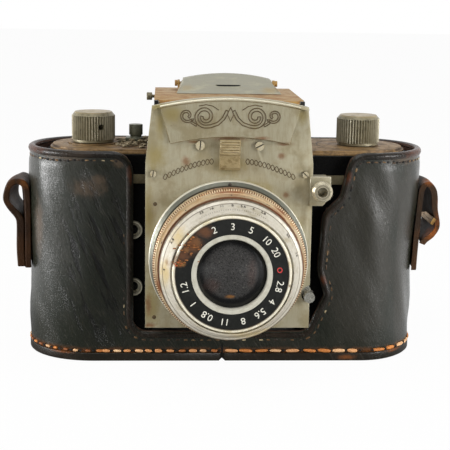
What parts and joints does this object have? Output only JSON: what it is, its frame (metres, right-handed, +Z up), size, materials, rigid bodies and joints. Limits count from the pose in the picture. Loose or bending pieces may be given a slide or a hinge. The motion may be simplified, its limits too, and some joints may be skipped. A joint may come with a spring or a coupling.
{
  "type": "single-lens reflex camera",
  "caption": "Small 35 mm single-lens reflex camera with a folding waist-level hood, standing in the lower half of its stitched leather case.",
  "frame": {"origin": "mouth of the tripod socket in the case screw, under the lens axis, on the ground plane to within half a millimetre", "axes": "+X to the viewer's right along the body, +Y to the back of the camera, +Z up; the lens looks along -Y"},
  "size_m": [0.138, 0.0789, 0.0871],
  "materials": {
    "case_leather": "worn black leather",
    "sole_leather": "dark brown sole leather",
    "board": "stiffening board",
    "strap_leather": "worn tan leather",
    "strap_dark": "dark strap leather",
    "nickel": "aged satin nickel",
    "knob_nickel": "dark aged nickel",
    "top_metal": "stained satin chrome",
    "plate_metal": "matt chrome with brown stains",
    "casting": "die-cast alloy",
    "leatherette": "black grained leatherette",
    "black_lacquer": "black lacquer",
    "steel": "plain steel",
    "brass": "turned brass",
    "lens_metal": "satin aluminium",
    "lens_rust": "knurled ring with rust",
    "scale_metal": "pale satin scale",
    "pale_ring": "pale enamel",
    "optical_glass": "coated glass",
    "clear_glass": "clear glass",
    "ground_glass": "ground glass",
    "mirror_silver": "front-silvered mirror",
    "film_tin": "painted tin"
  },
  "bodies": {
    "case": {"case_shell": "case_leather", "case_sole": "sole_leather", "case_board": "board", "screw_plate": "nickel", "strap_tab_left": "strap_leather", "strap_tab_right": "strap_dark", "strap_ring_right": "brass"},
    "case_screw": {"case_screw": "nickel"},
    "camera": {"body_casting": "casting", "top_plate": "top_metal", "body_covering": "leatherette", "trim_strips": "plate_metal", "front_plate": "plate_metal", "plate_screws": "nickel", "flash_sockets": "nickel", "tripod_bush": "brass", "film_gate": "steel", "finder_frame": "plate_metal", "focusing_screen": "ground_glass", "condenser": "clear_glass", "finder_pins": "steel", "lens_mount": "lens_metal", "release_housing": "plate_metal", "speed_disc": "top_metal", "mirror_pin": "steel", "film_cassette": "film_tin"},
    "back": {"back_cover": "black_lacquer", "pressure_plate": "black_lacquer", "pressure_spring": "steel"},
    "winder": {"wind_knob": "knob_nickel", "wind_shaft": "steel", "takeup_spool": "black_lacquer"},
    "counter": {"counter_dial": "nickel"},
    "sprocket": {"film_sprocket": "steel"},
    "rewinder": {"rewind_knob": "knob_nickel", "rewind_shaft": "steel"},
    "speed": {"speed_selector": "knob_nickel"},
    "release": {"release_button": "nickel", "release_spring": "steel"},
    "mirror": {"mirror_frame": "steel", "mirror_glass": "mirror_silver"},
    "finder_catch": {"finder_catch": "plate_metal"},
    "lens_catch": {"lens_catch": "nickel"},
    "focus": {"focus_ring": "lens_rust"},
    "lens_head": {"lens_head": "lens_metal", "front_cell": "black_lacquer", "name_ring": "black_lacquer", "retaining_ring": "pale_ring", "front_element": "optical_glass", "rear_element": "optical_glass", "iris": "black_lacquer"},
    "aperture": {"aperture_ring": "scale_metal"},
    "lid": {"hood_lid": "top_metal", "magnifier_ring": "steel", "magnifier_lens": "clear_glass"},
    "magnifier": {"magnifier_dome": "plate_metal"},
    "rear_leaf": {"rear_leaf": "black_lacquer"},
    "left_leaf": {"side_leaf_left": "black_lacquer"},
    "right_leaf": {"side_leaf_right": "black_lacquer"},
    "latch": {"hood_latch": "knob_nickel"}
  },
  "joints": [
    {"name": "screw_turn", "type": "hinge", "parent": "case", "child": "case_screw", "pos_m": [0, 0, 0.002], "axis": [0, 0, 1], "continuous": true},
    {"name": "camera_lift", "type": "slide", "parent": "case", "child": "camera", "axis": [0, 0, 1], "range_m": [0, 0.09]},
    {"name": "back_slide", "type": "slide", "parent": "camera", "child": "back", "axis": [0, 0, -1], "range_m": [0, 0.045]},
    {"name": "wind_turn", "type": "hinge", "parent": "camera", "child": "winder", "pos_m": [-0.041, 0, 0.07], "axis": [0, 0, 1], "continuous": true},
    {"name": "counter_turn", "type": "hinge", "parent": "camera", "child": "counter", "pos_m": [-0.041, 0, 0.0654], "axis": [0, 0, 1], "continuous": true},
    {"name": "sprocket_turn", "type": "hinge", "parent": "camera", "child": "sprocket", "pos_m": [-0.0258, 0.0014, 0.036], "axis": [0, 0, 1], "continuous": true},
    {"name": "rewind_turn", "type": "hinge", "parent": "camera", "child": "rewinder", "pos_m": [0.0428, 0, 0.07], "axis": [0, 0, 1], "continuous": true},
    {"name": "speed_turn", "type": "hinge", "parent": "camera", "child": "speed", "pos_m": [-0.0283, 0, 0.067], "axis": [0, 0, 1], "range_deg": [-120, 30]},
    {"name": "release_press", "type": "slide", "parent": "camera", "child": "release", "axis": [0, 1, 0], "range_m": [0, 0.002], "deforming": ["release_spring"]},
    {"name": "mirror_swing", "type": "hinge", "parent": "camera", "child": "mirror", "pos_m": [0, 0.0042, 0.0504], "axis": [-1, 0, 0], "range_deg": [0, 45], "stiffness_Nm_per_rad": 0.004, "springref_deg": -34.38},
    {"name": "finder_catch_slide", "type": "slide", "parent": "camera", "child": "finder_catch", "axis": [0, 0, -1], "range_m": [0, 0.0022], "stiffness_N_per_m": 120, "springref_m": -0.001},
    {"name": "lens_catch_swing", "type": "hinge", "parent": "camera", "child": "lens_catch", "pos_m": [0.0206, -0.036, 0.0314], "axis": [0, -1, 0], "range_deg": [0, 12], "stiffness_Nm_per_rad": 0.004, "springref_deg": -22.92},
    {"name": "lens_extend", "type": "slide", "parent": "camera", "child": "lens_head", "axis": [0, -1, 0], "range_m": [0, 0.0056]},
    {"name": "focus_turn", "type": "hinge", "parent": "camera", "child": "focus", "pos_m": [0, -0.045, 0.0366], "axis": [0, -1, 0], "range_deg": [0, 200]},
    {"name": "aperture_turn", "type": "hinge", "parent": "lens_head", "child": "aperture", "pos_m": [0, -0.055, 0.0366], "axis": [0, -1, 0], "range_deg": [0, 70]},
    {"name": "lid_open", "type": "hinge", "parent": "camera", "child": "lid", "pos_m": [0, -0.03215, 0.0812], "axis": [1, 0, 0], "range_deg": [0, 90]},
    {"name": "magnifier_swing", "type": "hinge", "parent": "lid", "child": "magnifier", "pos_m": [0.001, 0.008, 0.0838], "axis": [-1, 0, 0], "range_deg": [0, 90]},
    {"name": "rear_leaf_open", "type": "hinge", "parent": "camera", "child": "rear_leaf", "pos_m": [0, 0.01015, 0.0793], "axis": [-1, 0, 0], "range_deg": [0, 90]},
    {"name": "left_leaf_open", "type": "hinge", "parent": "camera", "child": "left_leaf", "pos_m": [-0.01975, 0, 0.0775], "axis": [0, -1, 0], "range_deg": [0, 90]},
    {"name": "right_leaf_open", "type": "hinge", "parent": "camera", "child": "right_leaf", "pos_m": [0.01975, 0, 0.0775], "axis": [0, 1, 0], "range_deg": [0, 90]},
    {"name": "latch_press", "type": "slide", "parent": "camera", "child": "latch", "axis": [1, 0, 0], "range_m": [0, 0.0006], "stiffness_N_per_m": 150, "springref_m": -0.0005}
  ],
  "couplings": [
    {"joint": "back_slide", "follows": "camera_lift", "ratio": 0.5},
    {"joint": "counter_turn", "follows": "wind_turn", "ratio": 0.027778},
    {"joint": "sprocket_turn", "follows": "wind_turn", "ratio": 1},
    {"joint": "release_press", "follows": "mirror_swing", "m_per_rad": 0.002546},
    {"joint": "focus_turn", "follows": "lens_extend", "rad_per_m": 623.33},
    {"joint": "rear_leaf_open", "follows": "lid_open", "ratio": 1},
    {"joint": "left_leaf_open", "follows": "lid_open", "ratio": 1},
    {"joint": "right_leaf_open", "follows": "lid_open", "ratio": 1}
  ]
}
